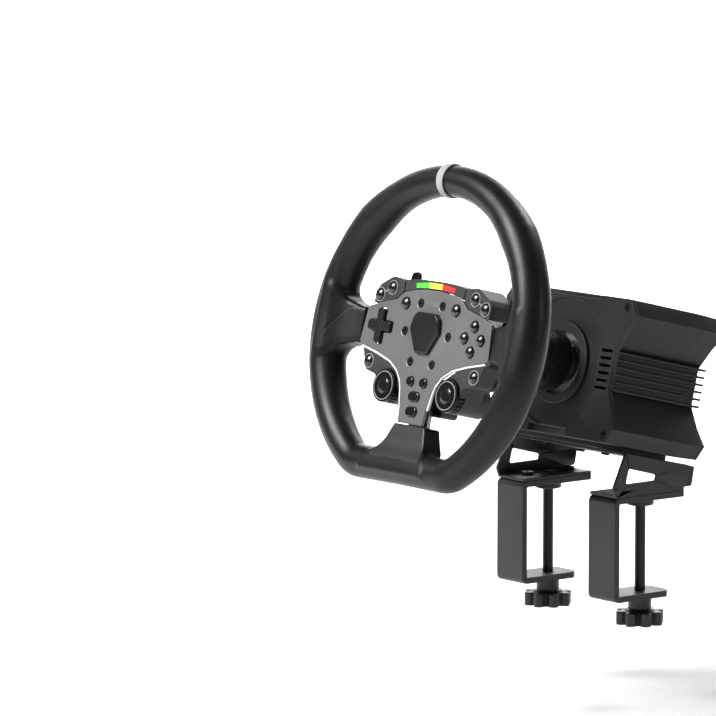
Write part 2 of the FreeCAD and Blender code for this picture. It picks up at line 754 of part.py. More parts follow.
def make_front_cover():
    """The front cover: dished face, shaft ring opening, end notches and cooling slots."""
    thick = S.cover_thick
    start = S.base_start
    body = plate("base_start", "cover_thick", base_outline(1.0, S.fin_reach), disc(0, 0, S.ring_radius))
    dish = cylinder("dish_radius", 1.5, (0, start, 0))
    slope = cone(S.dish_radius, S.ring_radius + 4, 2.0, (0, start + 0.5, 0))
    top_notch = box((-38.5, start, 57.0), (38.5, start + 4.5, 62))
    bottom_notch = box((-23.6, start, -62), (23.6, start + 4.8, -54))
    slots = []
    for side in SIDES.values():
        for i in range(FIN_COUNT):
            v = (i - (FIN_COUNT - 1) / 2) * S.fin_pitch
            reach = sorted((side * 49.0, side * 64.5))
            slots.append(box((reach[0], start, v - 1.2), (reach[1], start + thick, v + 1.2)))
    holes = [cylinder(2.2, thick, (x, start, v)) for x, v in COVER_SCREWS]
    seats = [cylinder(3.6, 2.4, (x, start, v)) for x, v in COVER_SCREWS]
    return cut(body, dish, slope, top_notch, bottom_notch, *slots, *holes, *seats)


node("front_cover", make_front_cover())
node("collar_ring", ring("ring_radius", "ring_bore", 7.0, (0, S.base_start - 1, 0)))


def make_rear_cover():
    """The rear cover, with four sockets and the power button's hole."""
    low = PORT_LOW - 0.3
    holes = [loop((x - PORT_HALF, low, 0.3), (x + PORT_HALF, low, 0.3),
                  (x + PORT_HALF, PORT_HIGH, 0.3), (x - PORT_HALF, PORT_HIGH, 0.3)) for x in PORTS]
    holes.append(disc(*POWER_SPOT, 6 + S.play))
    holes += [disc(x, v, 2.2) for x, v in REAR_SCREWS]
    return plate("base_end", "rear_thick", base_outline(TAPER, 54.0), *holes)


node("rear_cover", make_rear_cover())


def make_socket(x):
    """A rear socket: a shell open to the back with a tongue inside."""
    gap = 0.3
    low = (x - PORT_HALF + gap, 231.0, PORT_LOW)
    high = (x + PORT_HALF - gap, S.base_end + S.rear_thick - 0.5, PORT_HIGH - gap)
    shell = box(low, high)
    room = box((low[0] + 1.2, low[1] + 4, low[2] + 1.2), (high[0] - 1.2, high[1], high[2] - 1.2))
    tongue = box((x - 2.5, low[1] + 3, low[2] + 3.6), (x + 2.5, high[1] - 3, low[2] + 5.2))
    return fuse(cut(shell, room), tongue)


board = box((-46, 165, -54.5), (46, 244, PORT_LOW))
node("controller_board", fuse(board, *[make_socket(x) for x in PORTS]))

POWER_PLACE = (POWER_SPOT[0], S.base_end + S.rear_thick, POWER_SPOT[1])
power_cap = cylinder(6, 5.0, (POWER_PLACE[0], POWER_PLACE[1] - 3.4, POWER_PLACE[2]))
power_flange = cylinder(7.2, 1.0, (POWER_PLACE[0], S.base_end - 1.15, POWER_PLACE[2]))
power_rim = ring(4.6, 4.0, 0.4, (POWER_PLACE[0], POWER_PLACE[1] + 1.3, POWER_PLACE[2]))
node("power_button", cut(fuse(power_cap, power_flange), power_rim))


def make_stator():
    """The motor's can and windings, with a bearing seat at each end."""
    start = S.base_start + S.cover_thick
    can = cylinder("motor_radius", 230 - start, (0, start, 0))
    room = cylinder("rotor_radius + 0.8", 50, (0, 168, 0))
    front_seat = cylinder("bearing_radius", 13, (0, start, 0))
    rear_seat = cylinder("bearing_radius", 8, (0, 222, 0))
    bore = cylinder("shaft_radius + 2", 90, (0, start, 0))
    return cut(can, room, front_seat, rear_seat, bore)


node("motor_stator", make_stator())
node("shaft_bearings", *[ring("bearing_radius", "shaft_radius + running", 7, (0, y, 0)) for y in (159.0, 223.0)])


def make_shaft():
    """The drive shaft: spigot for the wheel in front, motor journal behind."""
    spigot = cylinder("spigot_radius", 96, (0, 62, 0))
    tip = cone(S.spigot_radius - 1.5, S.spigot_radius, 1.5, (0, 60.5, 0))
    journal = cylinder("shaft_radius", 80, (0, 158, 0))
    groove = ring(S.spigot_radius + 1, S.spigot_radius - 1.5, 4, (0, 118, 0))
    return cut(fuse(spigot, tip, journal), groove)


node("drive_shaft", make_shaft())
node("rotor_magnets", ring("rotor_radius", "shaft_radius", 44, (0, 171, 0)))


# ---------------------------------------------------------------- bracket and clamps

STRAP_IN = S.bracket_half - S.strap_width
STRAP_MID = S.bracket_half - S.strap_width / 2
FOOT_TOP = S.strap_thick + S.sheet_thick
BRACKET_FRONT = 172.0
BRACKET_REAR = 249.4
BRACKET_SIDE = [(6.7, 42.9), (82.4, 24.5, 2), (79.4, 8.3, 3), (71.0, 8.1), (71.0, S.strap_thick),
                (-4.0, S.strap_thick, 2), (-7.2, 13.5, 4)]
BRACKET_WINDOW = [(10.0, 29.2, 1.5), (40.0, 21.4, 1.5), (39.2, 16.7, 1.5), (6.5, 16.4, 1.5)]
FOOT_BOLTS = (14.0, 60.0)


def make_bracket():
    """The bent sheet bracket: leaning top plate, two windowed sides and two feet."""
    top = box((-S.bracket_half, BRACKET_FRONT, BRACKET_TOP_V - S.sheet_thick),
              (S.bracket_half, BRACKET_REAR, BRACKET_TOP_V), COLUMN)
    sides = []
    for side in SIDES.values():
        start = S.bracket_half - S.sheet_thick if side > 0 else -S.bracket_half
        sides.append(plate(start, "sheet_thick", loop(*BRACKET_SIDE), loop(*BRACKET_WINDOW), plane="YZ_Plane"))
    feet = []
    for side in SIDES.values():
        reach = sorted((side * STRAP_IN, side * S.bracket_half))
        feet.append(box((reach[0], -4.0, S.strap_thick), (reach[1], 71.0, FOOT_TOP)))
    foot_holes = [cylinder(3, 10, (side * STRAP_MID, y, 0), "z") for side in SIDES.values() for y in FOOT_BOLTS]
    rail_holes = [cylinder(2, S.sheet_thick, (x, y, BRACKET_TOP_V - S.sheet_thick), "z", COLUMN)
                  for x, y in RAIL_BOLTS]
    return cut(fuse(top, *sides, *feet), *foot_holes, *rail_holes)


node("mounting_bracket", make_bracket(), frame=LEVEL)


def make_strap(side):
    """A C-shaped clamp strap, bent from thick flat bar."""
    outline = loop((S.upper_arm, 0), (S.upper_arm, S.strap_thick),
                   (-S.strap_thick, S.strap_thick, S.bend_radius), (-S.strap_thick, -S.strap_drop, S.bend_radius), (S.lower_arm, -S.strap_drop),
                   (S.lower_arm, -S.strap_drop + S.strap_thick), (0, -S.strap_drop + S.strap_thick, 1.2), (0, 0, 1.2))
    start = min(side * STRAP_IN, side * S.bracket_half)
    body = plate(start, "strap_width", outline, plane="YZ_Plane")
    corners = []
    clip = 6.0
    for x, way in ((start, 1), (start + S.strap_width, -1)):
        corner = loop((x, S.lower_arm - clip), (x + way * clip, S.lower_arm + 0.01), (x, S.lower_arm + 0.01))
        corners.append(plate(-S.strap_drop, "strap_thick", corner, plane="XY_Plane"))
    holes = [cylinder(3, S.strap_thick, (side * STRAP_MID, y, 0), "z") for y in FOOT_BOLTS]
    rod_hole = cylinder("rod_radius + running", S.strap_thick, (side * STRAP_MID, S.screw_back, -S.strap_drop), "z")
    return cut(body, *corners, *holes, rod_hole)


def make_clamp_pad(side):
    """The swivel pad, pressed up against the underside of the desk."""
    low = -S.pad_gap - S.pad_thick
    place = (side * STRAP_MID, S.screw_back, low)
    body = cylinder("pad_radius", "pad_thick - 1", (place[0], place[1], low + 1), "z")
    skirt = cone(S.pad_radius - 3.5, S.pad_radius, 1.0, place, "z")
    socket = cylinder(2.0 + S.running, 3.0, place, "z")
    return cut(fuse(body, skirt), socket)


def make_clamp_rod(side):
    """The clamp's rod, with a pin at its top that turns in the pad."""
    x, y = side * STRAP_MID, S.screw_back
    top = -S.pad_gap - S.pad_thick - 0.1
    bottom = -S.strap_drop - 20
    rod = cylinder("rod_radius", top - bottom, (x, y, bottom), "z")
    pin = cylinder(2.0, 2.8, (x, y, top), "z")
    return fuse(rod, pin)


def make_knob(side):
    """The lobed hand knob and its collar."""
    x, y = side * STRAP_MID, S.screw_back
    top = -S.strap_drop - 0.3
    shelf = -S.strap_drop - 12
    collar = cylinder("collar_radius", top - shelf, (x, y, shelf), "z")
    shoulder = cone(S.collar_radius + 4, S.collar_radius + 2, 1.5, (x, y, shelf), "z")
    core = cylinder(15.2, "knob_height", (x, y, shelf - S.knob_height), "z")
    lobes = []
    for i in range(KNOB_LOBES):
        bend = 2 * math.pi * (i + 0.5) / KNOB_LOBES
        spread = S.knob_radius - 4.6
        lobes.append(cylinder(4.6, "knob_height", (x + spread * math.cos(bend), y + spread * math.sin(bend),
                                                   shelf - S.knob_height), "z"))
    bore = cylinder("rod_radius", 20 + 1, (x, y, -S.strap_drop - 20), "z")
    return cut(fuse(collar, shoulder, core, *lobes), bore)


for name, side in SIDES.items():
    node(f"clamp_strap_{name}", make_strap(side), frame=LEVEL)
    node(f"clamp_pad_{name}", make_clamp_pad(side), frame=LEVEL)
    node(f"clamp_screw_{name}", make_clamp_rod(side), frame=LEVEL)
    node(f"clamp_knob_{name}", make_knob(side), frame=LEVEL)


def make_bolt(seat, reach, along, frame, head_radius, head_height, shank_radius):
    """A socket head screw: its head stands before the seat, and its shank runs on beyond it by reach."""
    way = math.copysign(1, reach)
    index = "xyz".index(along)

    def slug(radius, start, end):
        low = list(seat)
        low[index] += min(start, end)
        return cylinder(radius, abs(end - start), tuple(low), along, frame)

    head = slug(head_radius, 0, -way * head_height)
    shank = slug(shank_radius, 0, reach)
    socket = slug(head_radius / 2, -way * head_height, -way * (head_height - 1.4))
    return cut(fuse(head, shank), socket)


UNDER_V = BRACKET_TOP_V - S.sheet_thick
screws = [make_bolt((x, S.base_start + 2.4, v), 12, "y", COLUMN, 3.5, 2.4, 2.0) for x, v in COVER_SCREWS]
screws += [make_bolt((x, S.base_end + S.rear_thick, v), -S.rear_thick, "y", COLUMN, 3.5, 2.0, 2.0)
           for x, v in REAR_SCREWS]
screws += [make_bolt((side * STRAP_MID, y, FOOT_TOP), -FOOT_TOP, "z", LEVEL, 5.0, 2.8, 3.0)
           for side in SIDES.values() for y in FOOT_BOLTS]
screws += [make_bolt((x, y, UNDER_V), -S.half_height - UNDER_V, "z", COLUMN, 3.5, 2.2, 2.0) for x, y in RAIL_BOLTS]
node("housing_screws", *screws, frame=LEVEL)


# ---------------------------------------------------------------- check and write

doc.recompute()
faults = [f"{thing.Name} ({thing.Label}): {thing.State}" for thing in doc.Objects
          if "Invalid" in thing.State or "Error" in thing.State]
for name, thing in nodes.items():
    if thing.Shape.isNull() or not thing.Shape.isValid():
        faults.append(f"{name}: empty or invalid shape")
if faults:
    raise RuntimeError("; ".join(faults))
os.makedirs("parts", exist_ok=True)
for name, thing in nodes.items():
    thing.Shape.exportStep(f"parts/{name}.step")
print(len(nodes), "sub-parts written")
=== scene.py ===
"""Racing wheel on its desk-clamped motor base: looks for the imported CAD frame."""

import json
import math

import bmesh
import bpy
import numpy as np
from mathutils import Matrix, Vector


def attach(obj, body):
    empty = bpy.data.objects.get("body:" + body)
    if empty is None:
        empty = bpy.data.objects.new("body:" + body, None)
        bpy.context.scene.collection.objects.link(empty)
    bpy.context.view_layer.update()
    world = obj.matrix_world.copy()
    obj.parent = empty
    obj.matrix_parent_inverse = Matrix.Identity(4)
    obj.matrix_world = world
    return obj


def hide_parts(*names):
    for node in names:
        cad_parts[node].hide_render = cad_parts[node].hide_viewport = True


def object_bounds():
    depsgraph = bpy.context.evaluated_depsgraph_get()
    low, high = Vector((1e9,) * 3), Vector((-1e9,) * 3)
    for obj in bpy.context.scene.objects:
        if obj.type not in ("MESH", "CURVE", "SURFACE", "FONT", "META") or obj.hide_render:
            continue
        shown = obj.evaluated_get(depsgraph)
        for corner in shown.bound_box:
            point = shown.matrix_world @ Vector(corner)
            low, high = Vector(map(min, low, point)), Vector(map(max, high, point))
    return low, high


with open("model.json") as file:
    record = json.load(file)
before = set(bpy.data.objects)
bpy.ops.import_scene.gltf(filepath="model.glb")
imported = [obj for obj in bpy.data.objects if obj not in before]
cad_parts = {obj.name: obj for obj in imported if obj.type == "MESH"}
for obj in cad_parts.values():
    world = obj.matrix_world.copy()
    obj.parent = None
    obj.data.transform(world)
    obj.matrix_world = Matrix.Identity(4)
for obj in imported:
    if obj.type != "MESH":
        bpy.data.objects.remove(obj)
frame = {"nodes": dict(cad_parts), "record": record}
CAD_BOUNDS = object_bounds()
RECORD = frame["record"]
BODY_OF = {name: body for body, names in RECORD["behaviour"]["bodies"].items() for name in names}
SLOT_OF = {entry["node"]: entry["material_slot"] for entry in RECORD["subparts"]}
JOINTS = {joint["name"]: joint for joint in RECORD["behaviour"]["joints"]}

# The steering column's own frame, in millimetres: x right, y along the shaft away from the
# driver, z up the face plate, with its origin at the face plate's centre.
MM = 0.001
SPIN = JOINTS["shaft_spin"]
SHAFT_AXIS = Vector(SPIN["axis"]).normalized()
SPIN_DEPTH = 150.0
PLATE_CENTRE = Vector(SPIN["pos_m"]) - SHAFT_AXIS * SPIN_DEPTH * MM
TILT = math.atan2(-SHAFT_AXIS.z, SHAFT_AXIS.y)
COLUMN = Matrix.Translation(PLATE_CENTRE) @ Matrix.Rotation(-TILT, 4, "X") @ Matrix.Scale(MM, 4)


# ---------------------------------------------------------------- node helpers

class Nodes:
    """A short way to write a material's node tree."""

    def __init__(self, name):
        self.material = bpy.data.materials.new(name)
        self.material.use_nodes = True
        self.tree = self.material.node_tree
        self.shader = self.tree.nodes["Principled BSDF"]
        self.coords = None

    def add(self, kind, **values):
        node = self.tree.nodes.new(kind)
        for key, value in values.items():
            if hasattr(node, key):
                setattr(node, key, value)
            else:
                node.inputs[key.replace("_", " ")].default_value = value
        return node

    def link(self, source, target):
        self.tree.links.new(source, target)

    def place(self):
        if self.coords is None:
            self.coords = self.add("ShaderNodeTexCoord").outputs["Object"]
        return self.coords

    def noise(self, scale, detail=2.0, rough=0.5):
        node = self.add("ShaderNodeTexNoise", Scale=scale, Detail=detail, Roughness=rough)
        self.link(self.place(), node.inputs["Vector"])
        return node.outputs["Fac"]

    def cell_edges(self, scale):
        node = self.add("ShaderNodeTexVoronoi", Scale=scale)
        node.feature = "DISTANCE_TO_EDGE"
        self.link(self.place(), node.inputs["Vector"])
        return node.outputs["Distance"]

    def attribute(self, name):
        return self.add("ShaderNodeAttribute", attribute_name=name).outputs["Fac"]

    def math(self, operation, first, second=None):
        node = self.add("ShaderNodeMath")
        node.operation = operation
        for socket, value in zip(node.inputs, (first, second)):
            if value is None:
                continue
            if isinstance(value, (int, float)):
                socket.default_value = value
            else:
                self.link(value, socket)
        return node.outputs[0]

    def spread(self, value, low, high, out_low, out_high):
        node = self.add("ShaderNodeMapRange")
        ends = {"From Min": low, "From Max": high, "To Min": out_low, "To Max": out_high}
        for name, number in ends.items():
            node.inputs[name].default_value = number
        self.link(value, node.inputs["Value"])
        return node.outputs["Result"]

    def blend(self, share, first, second):
        node = self.add("ShaderNodeMix")
        node.data_type = "RGBA"
        sockets = (node.inputs[0], node.inputs[6], node.inputs[7])
        for socket, value in zip(sockets, (share, first, second)):
            if isinstance(value, tuple):
                socket.default_value = (*value, 1.0)
            elif isinstance(value, (int, float)):
                socket.default_value = value
            else:
                self.link(value, socket)
        return node.outputs[2]

    def bump(self, height, strength, distance):
        node = self.add("ShaderNodeBump", Strength=strength, Distance=distance)
        self.link(height, node.inputs["Height"])
        return node.outputs["Normal"]

    def finish(self, color=None, rough=None, normal=None, **plain):
        for source, name in ((color, "Base Color"), (rough, "Roughness"), (normal, "Normal")):
            if source is None:
                continue
            if isinstance(source, tuple):
                self.shader.inputs[name].default_value = (*source, 1.0)
            elif isinstance(source, (int, float)):
                self.shader.inputs[name].default_value = source
            else:
                self.link(source, self.shader.inputs[name])
        for name, value in plain.items():
            self.shader.inputs[name.replace("_", " ")].default_value = value
        return self.material


PRICK_PITCH = 2.6
DIP_DEPTH = 2.6
GLOSS_DROP = 0.06
GLOSS_RISE = 0.08


def coated(name, color, rough, grain=1500.0, depth=0.00012, strength=0.35, vary=0.25, **plain):
    """A painted, moulded or blasted surface: fine grain, slow colour drift and worn-smooth patches."""
    nodes = Nodes(name)
    drift = nodes.noise(22.0, 3.0)
    fine = nodes.noise(grain, 3.0, 0.65)
    light = tuple(min(1.0, c * (1 + vary)) for c in color)
    dark = tuple(c * (1 - vary) for c in color)
    tone = nodes.math("ADD", nodes.math("MULTIPLY", drift, 0.6), nodes.math("MULTIPLY", fine, 0.4))
    shade = nodes.blend(tone, dark, light)
    wear = nodes.math("ADD", drift, nodes.math("MULTIPLY", fine, 0.5))
    gloss = nodes.spread(wear, 0.35, 1.15, rough - GLOSS_DROP, rough + GLOSS_RISE)
    normal = nodes.bump(fine, strength, depth)
    return nodes.finish(shade, gloss, normal, **plain)


def brushed(name, color, rough, direction):
    """Turned or brushed metal: the grain runs across the direction given."""
    nodes = Nodes(name)
    mapping = nodes.add("ShaderNodeMapping")
    nodes.link(nodes.place(), mapping.inputs["Vector"])
    mapping.inputs["Scale"].default_value = direction
    streak = nodes.add("ShaderNodeTexNoise", Scale=1.0, Detail=4.0)
    nodes.link(mapping.outputs["Vector"], streak.inputs["Vector"])
    grain = streak.outputs["Fac"]
    dark = tuple(c * 0.75 for c in color)
    light = tuple(min(1, c * 1.2) for c in color)
    shade = nodes.blend(grain, dark, light)
    gloss = nodes.spread(grain, 0.3, 0.7, rough - GLOSS_DROP, rough + GLOSS_RISE)
    normal = nodes.bump(grain, 0.2, 0.00006)
    return nodes.finish(shade, gloss, normal, Metallic=1.0)


def prick_rows(nodes):
    """Staggered rows of pricked holes over the unrolled surface: 1 in a hole, 0 outside."""
    grid = nodes.add("ShaderNodeUVMap", uv_map="surface_mm")
    split = nodes.add("ShaderNodeSeparateXYZ")
    nodes.link(grid.outputs["UV"], split.inputs["Vector"])
    row = nodes.math("DIVIDE", split.outputs["Y"], PRICK_PITCH * 0.5)
    odd = nodes.math("MODULO", nodes.math("FLOOR", row), 2.0)
    along = nodes.math("ADD", nodes.math("DIVIDE", split.outputs["X"], PRICK_PITCH),
                       nodes.math("MULTIPLY", odd, 0.5))
    a = nodes.math("SUBTRACT", nodes.math("FRACT", along), 0.5)
    b = nodes.math("MULTIPLY", nodes.math("SUBTRACT", nodes.math("FRACT", row), 0.5), 0.5)
    away = nodes.math("SQRT", nodes.math("ADD", nodes.math("MULTIPLY", a, a),
                                         nodes.math("MULTIPLY", b, b)))
    return nodes.spread(away, 0.15, 0.21, 1.0, 0.0)


def leather_material():
    """Smooth black leather: pebbled grain, faint creases and a dull sheen.

    The mesh's attributes say where it is pricked, where its seams run and where the smooth
    panel of the bottom spoke lies.
    """
    nodes = Nodes("leather")
    pebble = nodes.cell_edges(820.0)
    pores = nodes.noise(3000.0, 2.0)
    crease = nodes.noise(120.0, 4.0, 0.6)
    drift = nodes.noise(14.0, 2.0)
    height = nodes.math("ADD", nodes.math("MULTIPLY", nodes.spread(pebble, 0.0, 0.25, 0.0, 1.0), 0.5),
                        nodes.math("MULTIPLY", pores, 0.25))
    height = nodes.math("ADD", height, nodes.math("MULTIPLY", crease, 0.6))
    hole = nodes.math("MULTIPLY", prick_rows(nodes), nodes.attribute("prick_zone"))
    dip = nodes.math("MAXIMUM", hole, nodes.attribute("seam_line"))
    height = nodes.math("SUBTRACT", height, nodes.math("MULTIPLY", dip, DIP_DEPTH))
    tone = nodes.math("ADD", nodes.math("MULTIPLY", drift, 0.6), nodes.math("MULTIPLY", crease, 0.4))
    shade = nodes.blend(tone, (0.003, 0.003, 0.0033), (0.006, 0.006, 0.0065))
    # Painted shade: the pricked holes and the seam groove are painted near black, on top of their bump,
    # as the shade in these hollows.
    shade = nodes.blend(dip, shade, (0.001, 0.001, 0.001))
    shade = nodes.blend(nodes.attribute("panel_zone"), shade, (0.030, 0.0305, 0.0315))
    gloss = nodes.spread(nodes.math("ADD", crease, drift), 0.6, 1.4, 0.33, 0.44)
    normal = nodes.bump(height, 0.3, 0.00014)
    return nodes.finish(shade, gloss, normal, Sheen_Weight=0.02, Sheen_Roughness=0.4,
                        Specular_IOR_Level=0.33)


def light_material(name, color, strength):
    """A milky lens lit from behind, finely mottled."""
    nodes = Nodes(name)
    fine = nodes.noise(900.0, 2.0)
    shade = nodes.blend(fine, tuple(c * 0.7 for c in color), color)
    nodes.link(shade, nodes.shader.inputs["Emission Color"])
    normal = nodes.bump(fine, 0.1, 0.00005)
    return nodes.finish(shade, 0.25, normal, Emission_Strength=strength, Coat_Weight=0.5,
                        Coat_Roughness=0.08)


MATERIALS = {
    "leather": leather_material(),
    "marker": coated("marker_band", (0.36, 0.365, 0.37), 0.55, 900.0, 0.0002, 0.4, 0.08),
    "face": coated("face_metal", (0.175, 0.177, 0.181), 0.42, 2600.0, 0.00005, 0.25, 0.10,
                   Metallic=0.55),
    "pod": coated("pod_plastic", (0.012, 0.0122, 0.0126), 0.46, 1400.0, 0.0001, 0.35, 0.15),
    "lower_pod": coated("pod_face", (0.022, 0.0225, 0.023), 0.50, 1400.0, 0.0001, 0.35, 0.15),
    "badge": coated("badge_plastic", (0.009, 0.009, 0.0095), 0.30, 2200.0, 0.00004, 0.2, 0.12),
    "gloss": coated("gloss_black", (0.0045, 0.0045, 0.005), 0.22, 700.0, 0.00002, 0.15, 0.3,
                    Coat_Weight=0.6, Coat_Roughness=0.06),
    "ring": coated("ring_grey", (0.30, 0.305, 0.31), 0.34, 1200.0, 0.00003, 0.2, 0.06),
    "trim": coated("trim_white", (0.78, 0.79, 0.80), 0.30, 1200.0, 0.00003, 0.2, 0.04,
                   Coat_Weight=0.3),
    "steel": brushed("machined_steel", (0.42, 0.42, 0.43), 0.32, (400.0, 6000.0, 400.0)),
    "black_steel": coated("black_steel", (0.011, 0.011, 0.012), 0.36, 1800.0, 0.00004, 0.3, 0.3,
                          Metallic=0.4),
    "bearing": brushed("bearing_steel", (0.6, 0.6, 0.62), 0.2, (500.0, 5000.0, 500.0)),
    "base": coated("base_shell", (0.018, 0.0183, 0.019), 0.46, 1300.0, 0.00010, 0.4, 0.12,
                   Metallic=0.25),
    "bracket": coated("bracket_steel", (0.026, 0.0265, 0.0275), 0.44, 1100.0, 0.00014, 0.45, 0.12,
                      Metallic=0.2),
    "board": coated("board_green", (0.010, 0.055, 0.025), 0.35, 500.0, 0.00003, 0.2, 0.3,
                    Coat_Weight=0.4),
    "motor": brushed("motor_metal", (0.4, 0.4, 0.41), 0.4, (900.0, 900.0, 900.0)),
    "magnet": brushed("magnet_nickel", (0.5, 0.5, 0.5), 0.25, (900.0, 2500.0, 900.0)),
    "knob": coated("knob_nylon", (0.013, 0.013, 0.0135), 0.40, 1200.0, 0.00010, 0.35, 0.2),
    "anodised": coated("black_anodised", (0.012, 0.012, 0.0125), 0.33, 2600.0, 0.00003, 0.25, 0.15,
                       Metallic=0.7),
    "green": light_material("light_green", (0.10, 0.62, 0.08), 0.7),
    "yellow": light_material("light_yellow", (0.95, 0.72, 0.10), 0.7),
    "red": light_material("light_red", (0.80, 0.05, 0.04), 0.6),
}
SLOT_LOOK = {
    "leather_black": "leather", "marker_cloth": "marker", "face_metal": "face", "pod_plastic": "pod",
    "badge_plastic": "badge", "gloss_black": "gloss", "trim_white": "trim", "led_lens": "yellow",
    "steel": "steel", "black_steel": "black_steel", "bearing_steel": "bearing", "base_shell": "base",
    "bracket_steel": "bracket", "board_green": "board", "motor_metal": "motor", "magnet": "magnet",
    "knob_plastic": "knob", "anodised": "anodised",
}


# ---------------------------------------------------------------- mesh helpers

# In degrees: edges sharper than EDGE_ANGLE are rounded, and faces within FLAT_ANGLE are one flat.
EDGE_ANGLE = 28.0
FLAT_ANGLE = 0.4
WELD = 2e-6


def piece_from(name, verts, faces, material, body, place=COLUMN, smooth=True):
    """A mesh piece given in the column's millimetres, riding on a CAD body."""
    mesh = bpy.data.meshes.new(name)
    mesh.from_pydata([place @ Vector(v) for v in verts], [], faces)
    mesh.update()
    mesh.polygons.foreach_set("use_smooth", [smooth] * len(mesh.polygons))
    piece = bpy.data.objects.new(name, mesh)
    bpy.context.collection.objects.link(piece)
    mesh.materials.append(MATERIALS[material])
    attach(piece, body)
    return piece


def soften(piece, width, segments):
    """Round a piece's hard edges with a bevel, and keep its flats flat."""
    bevel = piece.modifiers.new("bevel", "BEVEL")
    bevel.width = width * MM
    bevel.segments = segments
    bevel.limit_method = "ANGLE"
    bevel.angle_limit = math.radians(EDGE_ANGLE)
    bevel.use_clamp_overlap = False
    bevel.harden_normals = True
    bevel.miter_outer = "MITER_ARC"


def refine(node, look=None, width=0.35, segments=2, join=True):
    """A finished copy of a CAD node: welded, its flats joined, its edges rounded."""
    source = frame["nodes"][node]
    mesh = source.data.copy()
    mesh.materials.clear()
    build = bmesh.new()
    build.from_mesh(mesh)
    bmesh.ops.remove_doubles(build, verts=build.verts, dist=WELD)
    if join:
        bmesh.ops.dissolve_limit(build, angle_limit=math.radians(FLAT_ANGLE), verts=build.verts,
                                 edges=build.edges)
    build.to_mesh(mesh)
    build.free()
    mesh.polygons.foreach_set("use_smooth", [True] * len(mesh.polygons))
    mesh.set_sharp_from_angle(angle=math.radians(EDGE_ANGLE))
    piece = bpy.data.objects.new(node + "_finish", mesh)
    bpy.context.collection.objects.link(piece)
    mesh.materials.append(MATERIALS[look or SLOT_LOOK[SLOT_OF[node]]])
    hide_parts(node)
    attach(piece, BODY_OF[node])
    if width:
        soften(piece, width, segments)
    return piece


def surface_nets(field, low, step):
    """The zero surface of a sampled field as vertices and quads, one vertex in each crossed cell."""
    inside = field < 0
    corners = [(i, j, k) for i in (0, 1) for j in (0, 1) for k in (0, 1)]
    shape = [n - 1 for n in field.shape]

    def block(data, offset):
        return data[tuple(slice(o, o + n) for o, n in zip(offset, shape))]

    count = sum(block(inside, corner).astype(np.int8) for corner in corners)
    crossed = (count > 0) & (count < 8)
    total = np.zeros((*shape, 3))
    hits = np.zeros(shape)
    for a in corners:
        for axis in range(3):
            if a[axis]:
                continue
            b = tuple(1 if i == axis else a[i] for i in range(3))
            first, second = block(field, a), block(field, b)
            cut = ((first < 0) != (second < 0)) & crossed
            share = np.where(cut, first / np.where(cut, first - second, 1.0), 0.0)
            for i in range(3):
                total[..., i] += np.where(cut, a[i] + (share if i == axis else 0.0), 0.0)
            hits += cut
    cells = np.argwhere(crossed)
    index = -np.ones(shape, int)
    index[crossed] = np.arange(len(cells))
    verts = np.array(low) + step * (cells + total[crossed] / hits[crossed][:, None])
    faces = []
    for axis in range(3):
        u, w = (axis + 1) % 3, (axis + 2) % 3
        front = inside[tuple(slice(0, -1) if i == axis else slice(None) for i in range(3))]
        back = inside[tuple(slice(1, None) if i == axis else slice(None) for i in range(3))]
        for way, mask in ((1, front & ~back), (-1, ~front & back)):
            spots = np.argwhere(mask)
            ring = []
            for du, dw in ((-1, -1), (0, -1), (0, 0), (-1, 0)):
                cell = spots.copy()
                cell[:, u] += du
                cell[:, w] += dw
                ring.append(index[tuple(cell.T)])
            quads = np.stack(ring, 1)
            faces.append(quads if way > 0 else quads[:, ::-1])
    return verts, np.concatenate(faces)


# ---------------------------------------------------------------- the leather rim and spokes

# The rim's centre line, in millimetres: a circle of RIM_R cut by a flat FLAT below its centre,
# with corners of CORNER, in a plane SET_BACK behind the face plate's front.
RIM_R = 128.0
FLAT = 112.4
CORNER = 24.0
SET_BACK = 1.8
# The corners' centres, and the radius of the shape that runs through them.
INNER_R = RIM_R - CORNER
INNER_V = CORNER - FLAT
INNER_X = math.sqrt(INNER_R ** 2 - INNER_V ** 2)
# The tube's half thickness at the top, and by the angle above level in degrees.
TUBE = 13.2
GIRTH = [(-90, 13.5), (-56, 14.2), (-44, 14.9), (-28, 15.5), (-15, 16.0), (0, 16.1), (15, 16.1),
         (28, 15.5), (36, 15.8), (44, 16.3), (50, 15.5), (60, 14.1), (70, 13.8), (80, 13.4), (90, 13.2)]
# Where the spokes' skins end at the face plate, and how far out they run into the rim.
SPOKE_END = 84.6
SPOKE_ROOT = 124.0
BOTTOM_END = 76.2
BOTTOM_ROOT = 116.0
# The seam where the rim's skin laps over a side spoke, as (x, v) points.
SEAM = [(84.6, 15.8), (94, 14.2), (103, 10.8), (110, 1.7), (118, -11), (121, -24), (121, -40)]
SEAM_HALF = 0.8


def along_rim(x, v):
    """How far a point lies outside the rim's centre line, measured in the wheel's plane."""
    radius = np.hypot(x, v) + 1e-9
    within = (radius < INNER_R) & (v > INNER_V)
    on_flat = (np.abs(x) < INNER_X) & (v < INNER_V)
    on_arc = (v * INNER_R / radius > INNER_V) & ~on_flat
    corner = np.hypot(np.abs(x) - INNER_X, v - INNER_V)
    outside = np.where(on_arc, radius - INNER_R, np.where(on_flat, INNER_V - v, corner))
    return np.where(within, np.maximum(radius - INNER_R, INNER_V - v), outside) - CORNER


def girth(x, v):
    """The tube's half thickness: slim at the top, full where the hands go."""
    angles, sizes = zip(*GIRTH)
    return np.interp(np.degrees(np.arctan2(v, np.abs(x))), angles, sizes)


def soft_max(a, b, k):
    share = np.clip(0.5 - 0.5 * (b - a) / k, 0, 1)
    return b * (1 - share) + a * share + k * share * (1 - share)


def soft_min(a, b, k):
    return -soft_max(-a, -b, k)


def tube_field(x, y, v):
    return np.hypot(along_rim(x, v), y - SET_BACK) - girth(x, v)


